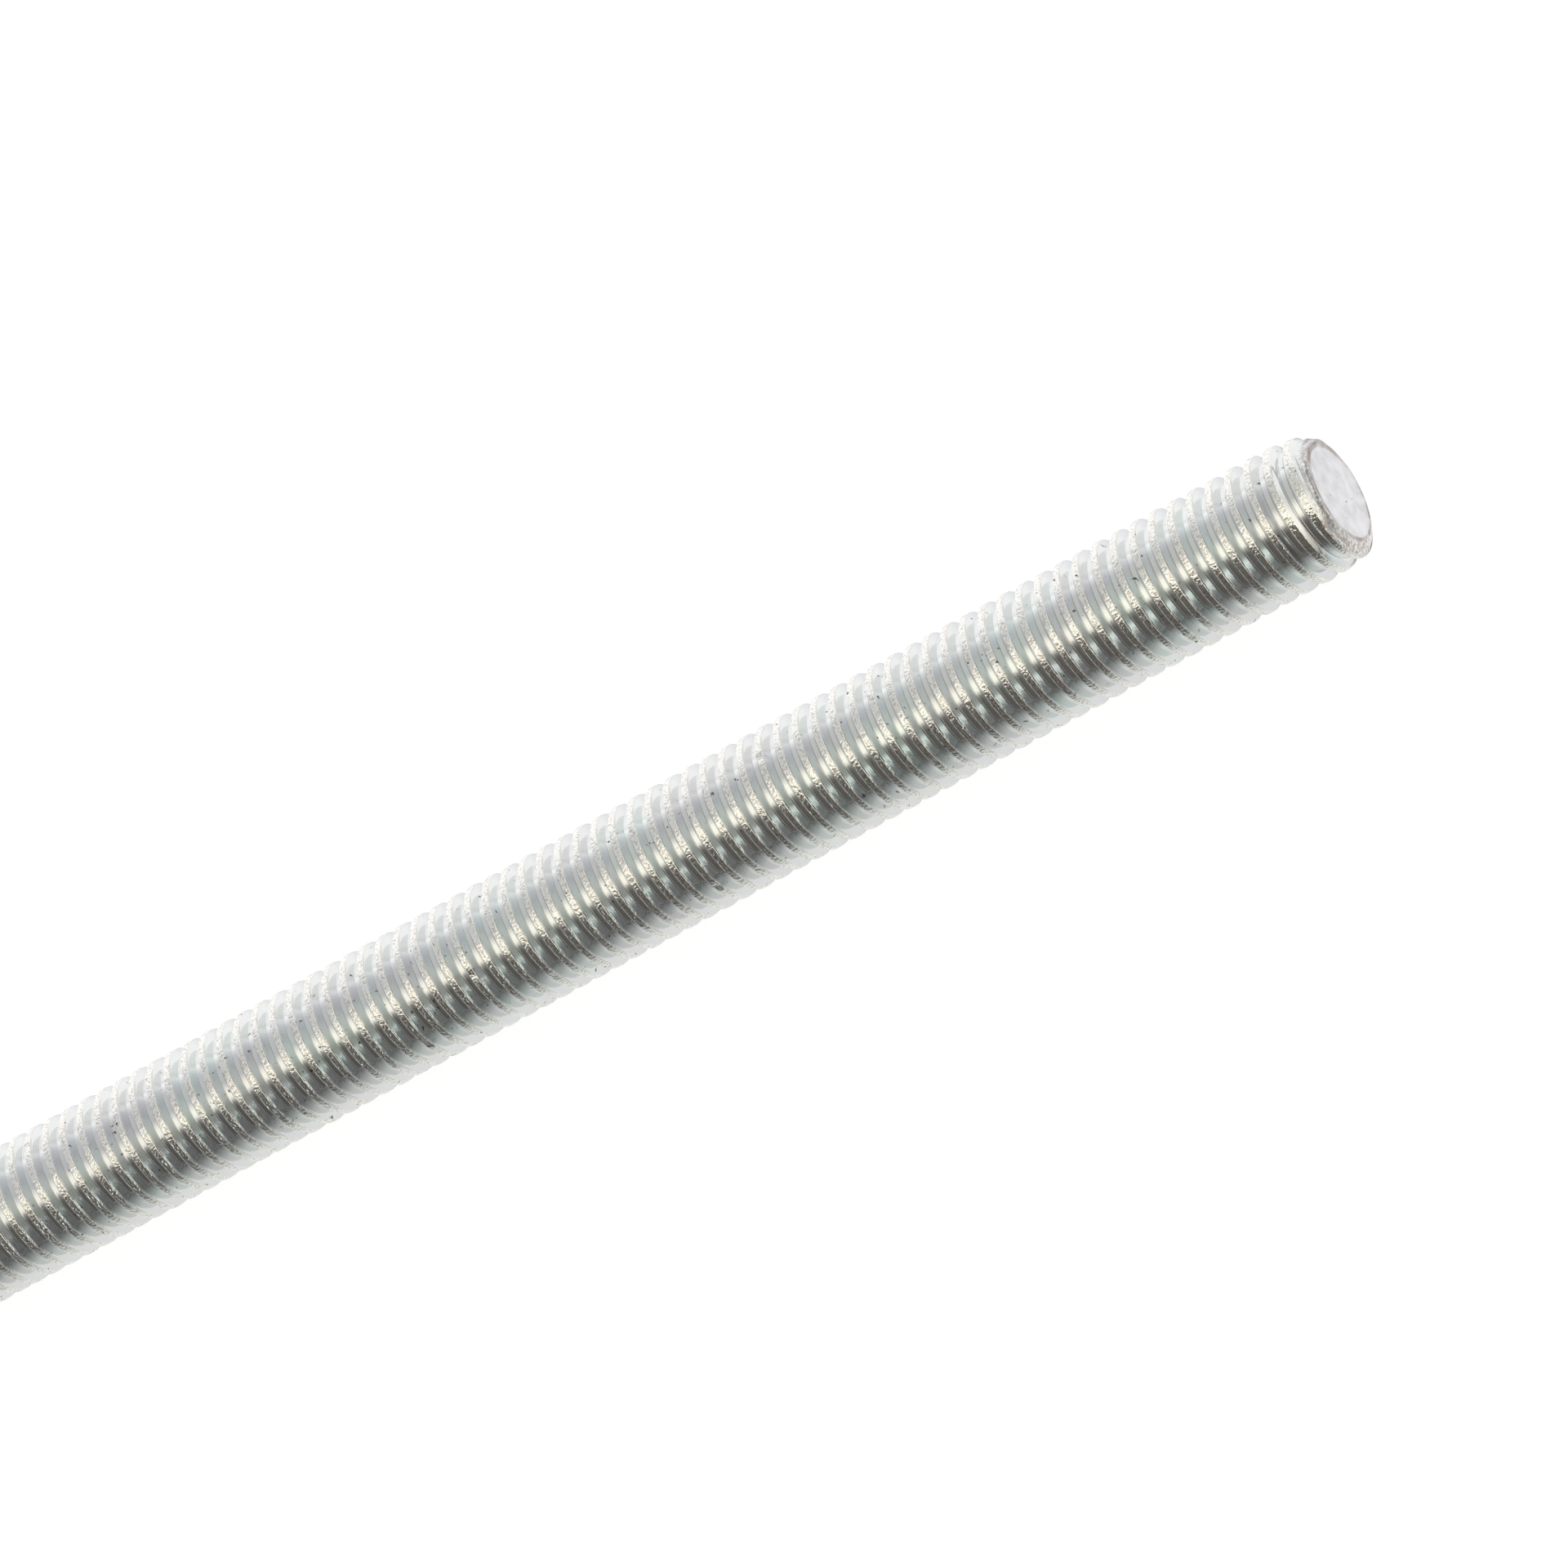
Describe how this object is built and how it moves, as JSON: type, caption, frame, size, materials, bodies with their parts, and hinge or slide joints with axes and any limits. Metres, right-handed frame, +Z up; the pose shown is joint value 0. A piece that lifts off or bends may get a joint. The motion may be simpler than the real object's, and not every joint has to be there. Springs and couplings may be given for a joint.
{
  "type": "threaded rod",
  "caption": "Straight round steel rod threaded along its whole length, bright zinc plated, with chamfered ends; takes nuts or tapped holes as a stud, tie or hanger",
  "frame": {"origin": "On the rod's axis, halfway between its two end faces", "axes": "X along the rod, Y across it, Z up as it lies"},
  "size_m": [0.1, 0.008, 0.008],
  "materials": {
    "zinc_plated_steel": "bright zinc electroplate, clear passivated, over a rolled thread"
  },
  "bodies": {
    "root": {"threaded_rod": "zinc_plated_steel"}
  },
  "joints": []
}
